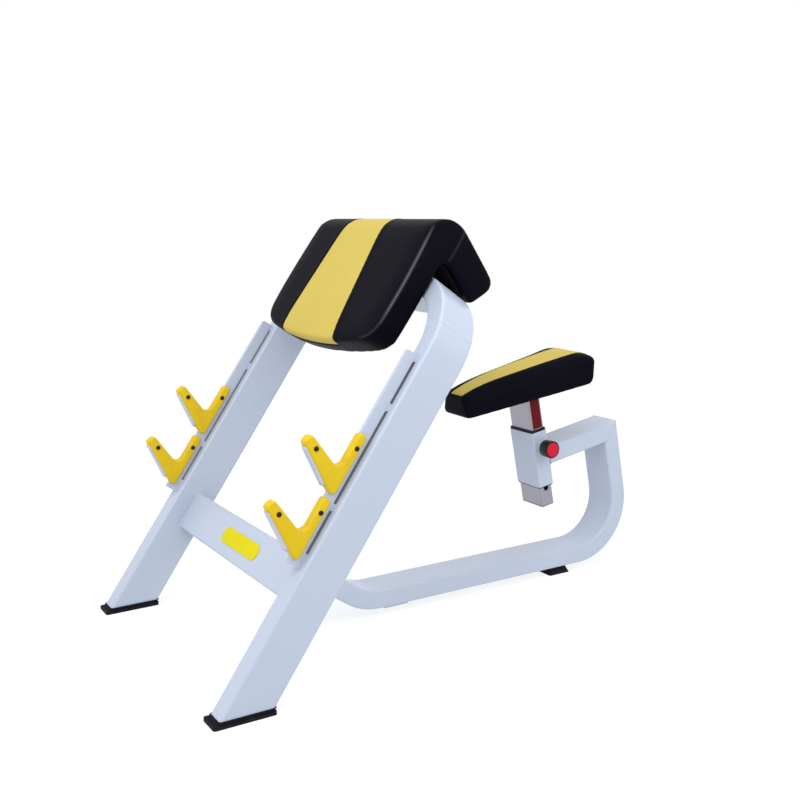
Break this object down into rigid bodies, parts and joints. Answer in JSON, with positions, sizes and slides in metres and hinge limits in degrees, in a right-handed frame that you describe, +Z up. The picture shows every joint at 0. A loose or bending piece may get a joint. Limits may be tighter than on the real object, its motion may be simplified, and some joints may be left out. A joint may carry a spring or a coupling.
{
  "type": "preacher curl bench",
  "caption": "White tube-framed preacher curl bench with a tent-shaped arm pad, two-level yellow V bar hooks and a height-adjustable seat on a spring-pin post.",
  "frame": {"origin": "on the floor, under the middle of the bench's bounding box", "axes": "+Z up, +Y from the bar hooks back to the seat, +X to the right of someone who faces along +Y, the side of the lock knob"},
  "size_m": [0.79, 1.3942, 0.9856],
  "materials": {
    "white_paint": "gloss powder coat",
    "black_paint": "satin powder coat",
    "vinyl": "matte grained vinyl with a yellow panel",
    "liner_yellow": "moulded, slightly glossy",
    "badge_yellow": "plain printed plate",
    "rubber_black": "matte",
    "dark_screw": "dark oxide",
    "zinc_steel": "zinc plated",
    "plated_post": "satin plated",
    "strip_red": "printed strip",
    "nylon_black": "moulded",
    "knob_black": "moulded",
    "knob_red": "smooth disc",
    "plywood": "sawn plywood"
  },
  "bodies": {
    "frame": {"top_tube": "white_paint", "crossbar": "white_paint", "badge": "badge_yellow", "base_rail": "white_paint", "seat_arm": "white_paint", "sleeve": "white_paint", "rest_block": "white_paint", "rear_foot": "rubber_black", "foot_screws": "dark_screw", "liner_screws": "dark_screw", "front_board": "plywood", "wing_board": "plywood", "arm_pad": "vinyl", "pad_bolts": "zinc_steel", "upper_bush": "nylon_black", "lower_bush": "nylon_black", "pin_boss": "white_paint", "pin_barrel": "zinc_steel", "barrel_cap": "zinc_steel", "pin_spring": "zinc_steel", "left_leg": "white_paint", "left_elbow": "white_paint", "left_shoe": "rubber_black", "left_hook_plate": "white_paint", "left_pad_bracket": "black_paint", "left_wing_saddle": "black_paint", "left_lower_liner": "liner_yellow", "left_upper_liner": "liner_yellow", "right_leg": "white_paint", "right_elbow": "white_paint", "right_shoe": "rubber_black", "right_hook_plate": "white_paint", "right_pad_bracket": "black_paint", "right_wing_saddle": "black_paint", "right_lower_liner": "liner_yellow", "right_upper_liner": "liner_yellow"},
    "seat": {"seat_post": "plated_post", "post_strip": "strip_red", "post_cap": "nylon_black", "seat_plate": "black_paint", "seat_board": "plywood", "seat_pad": "vinyl", "seat_bolts": "zinc_steel"},
    "pin": {"plunger": "zinc_steel", "knob": "knob_black", "knob_cap": "knob_red"}
  },
  "joints": [
    {"name": "seat_slide", "type": "slide", "parent": "frame", "child": "seat", "axis": [0, -0.1788, 0.9839], "range_m": [0, 0.12]},
    {"name": "pin_pull", "type": "slide", "parent": "frame", "child": "pin", "axis": [1, 0, 0], "range_m": [0, 0.01], "stiffness_N_per_m": 1500, "springref_m": -0.006, "deforming": ["pin_spring"]}
  ]
}
